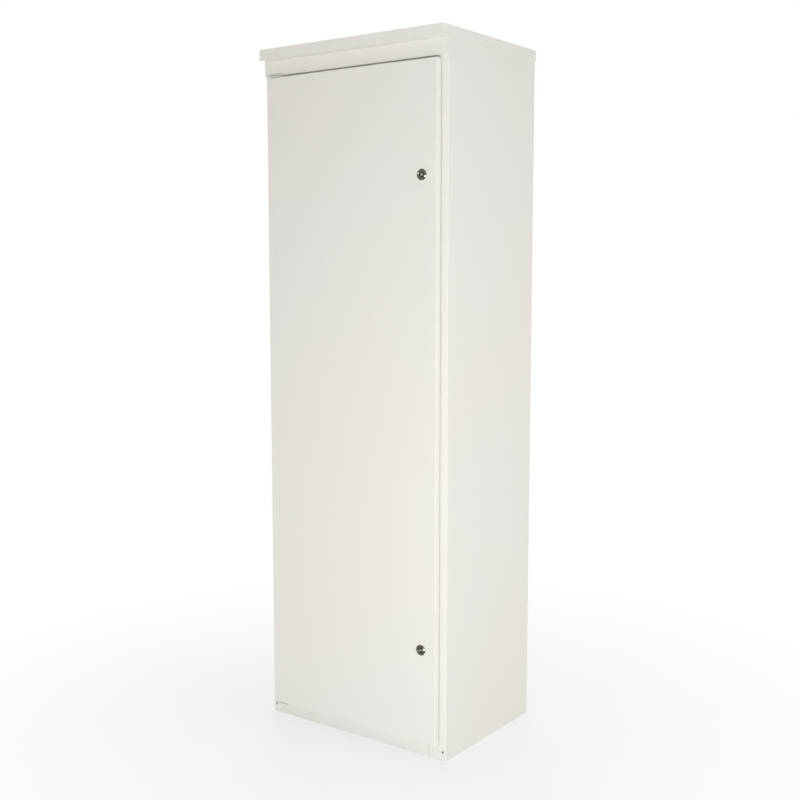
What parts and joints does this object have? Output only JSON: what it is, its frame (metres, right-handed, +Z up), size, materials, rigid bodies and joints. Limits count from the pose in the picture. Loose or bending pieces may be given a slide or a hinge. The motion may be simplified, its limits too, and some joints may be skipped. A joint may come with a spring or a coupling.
{
  "type": "electrical distribution cabinet",
  "caption": "Tall floor-standing steel cabinet with an overlay door, quarter-turn locks and a folded roof, holding breakers on a mounting plate with busbars.",
  "frame": {"origin": "on the floor, under the middle of the cabinet's overall box", "axes": "+Z up, -Y out of the door, +X towards the lock side as seen inside the frame, metres"},
  "size_m": [0.604, 0.45, 1.87],
  "materials": {
    "body_paint": "fine textured powder coat, satin",
    "galvanised_steel": "dull zinc",
    "lock_chrome": "bright",
    "black_rubber": "matte",
    "white_plastic": "matte",
    "breaker_case": "matte moulded",
    "breaker_toggle": "satin",
    "copper": "dull copper",
    "red_insulator": "matte moulded"
  },
  "bodies": {
    "cabinet": {"left_side_panel": "body_paint", "right_side_panel": "body_paint", "rear_panel": "body_paint", "top_rail": "body_paint", "bottom_rail": "body_paint", "roof_cap": "body_paint", "upper_pivot_bracket": "body_paint", "lower_pivot_bracket": "body_paint", "roof_bolts": "galvanised_steel", "gland_plate": "galvanised_steel", "mounting_plate": "galvanised_steel", "plate_studs": "galvanised_steel", "plate_nuts": "galvanised_steel", "cable_clamp_rail": "galvanised_steel", "earth_posts": "galvanised_steel", "upper_pivot_pin": "galvanised_steel", "lower_pivot_pin": "galvanised_steel", "cable_grommets": "black_rubber", "frame_seal": "black_rubber", "main_breaker_housing": "breaker_case", "outgoing_breaker_1_housing": "breaker_case", "outgoing_breaker_2_housing": "breaker_case", "outgoing_breaker_3_housing": "breaker_case", "outgoing_breaker_4_housing": "breaker_case", "phase_1_busbar": "copper", "phase_2_busbar": "copper", "phase_3_busbar": "copper", "feed_links": "copper", "tap_links": "copper", "neutral_bar": "copper", "earth_bar": "copper", "main_breaker_terminals": "copper", "outgoing_terminals": "copper", "left_busbar_support": "red_insulator", "right_busbar_support": "red_insulator", "neutral_insulators": "red_insulator"},
    "door": {"door_panel": "body_paint", "lower_door_stiffener": "body_paint", "upper_door_stiffener": "body_paint", "upper_pivot_bush": "white_plastic", "lower_pivot_bush": "white_plastic", "upper_lock_housing": "lock_chrome", "lower_lock_housing": "lock_chrome", "upper_lock_nut": "galvanised_steel", "lower_lock_nut": "galvanised_steel"},
    "upper_lock": {"upper_lock_core": "lock_chrome", "upper_lock_cam": "galvanised_steel", "upper_lock_cam_screw": "galvanised_steel"},
    "lower_lock": {"lower_lock_core": "lock_chrome", "lower_lock_cam": "galvanised_steel", "lower_lock_cam_screw": "galvanised_steel"},
    "main_toggle": {"main_breaker_toggle": "breaker_toggle"},
    "outgoing_toggle_1": {"outgoing_breaker_1_toggle": "breaker_toggle"},
    "outgoing_toggle_2": {"outgoing_breaker_2_toggle": "breaker_toggle"},
    "outgoing_toggle_3": {"outgoing_breaker_3_toggle": "breaker_toggle"},
    "outgoing_toggle_4": {"outgoing_breaker_4_toggle": "breaker_toggle"}
  },
  "joints": [
    {"name": "door_hinge", "type": "hinge", "parent": "cabinet", "child": "door", "pos_m": [-0.272, -0.213, 0.9], "axis": [0, 0, -1], "range_deg": [0, 120]},
    {"name": "upper_lock_turn", "type": "hinge", "parent": "door", "child": "upper_lock", "pos_m": [0.235, -0.2, 1.512], "axis": [0, -1, 0], "range_deg": [0, 90]},
    {"name": "lower_lock_turn", "type": "hinge", "parent": "door", "child": "lower_lock", "pos_m": [0.235, -0.2, 0.294], "axis": [0, -1, 0], "range_deg": [0, 90]},
    {"name": "main_toggle_throw", "type": "hinge", "parent": "cabinet", "child": "main_toggle", "pos_m": [0, 0.1035, 1.5], "axis": [1, 0, 0], "range_deg": [0, 36]},
    {"name": "outgoing_toggle_1_throw", "type": "hinge", "parent": "cabinet", "child": "outgoing_toggle_1", "pos_m": [-0.1575, 0.1255, 0.8], "axis": [1, 0, 0], "range_deg": [0, 36]},
    {"name": "outgoing_toggle_2_throw", "type": "hinge", "parent": "cabinet", "child": "outgoing_toggle_2", "pos_m": [-0.0525, 0.1255, 0.8], "axis": [1, 0, 0], "range_deg": [0, 36]},
    {"name": "outgoing_toggle_3_throw", "type": "hinge", "parent": "cabinet", "child": "outgoing_toggle_3", "pos_m": [0.0525, 0.1255, 0.8], "axis": [1, 0, 0], "range_deg": [0, 36]},
    {"name": "outgoing_toggle_4_throw", "type": "hinge", "parent": "cabinet", "child": "outgoing_toggle_4", "pos_m": [0.1575, 0.1255, 0.8], "axis": [1, 0, 0], "range_deg": [0, 36]}
  ]
}
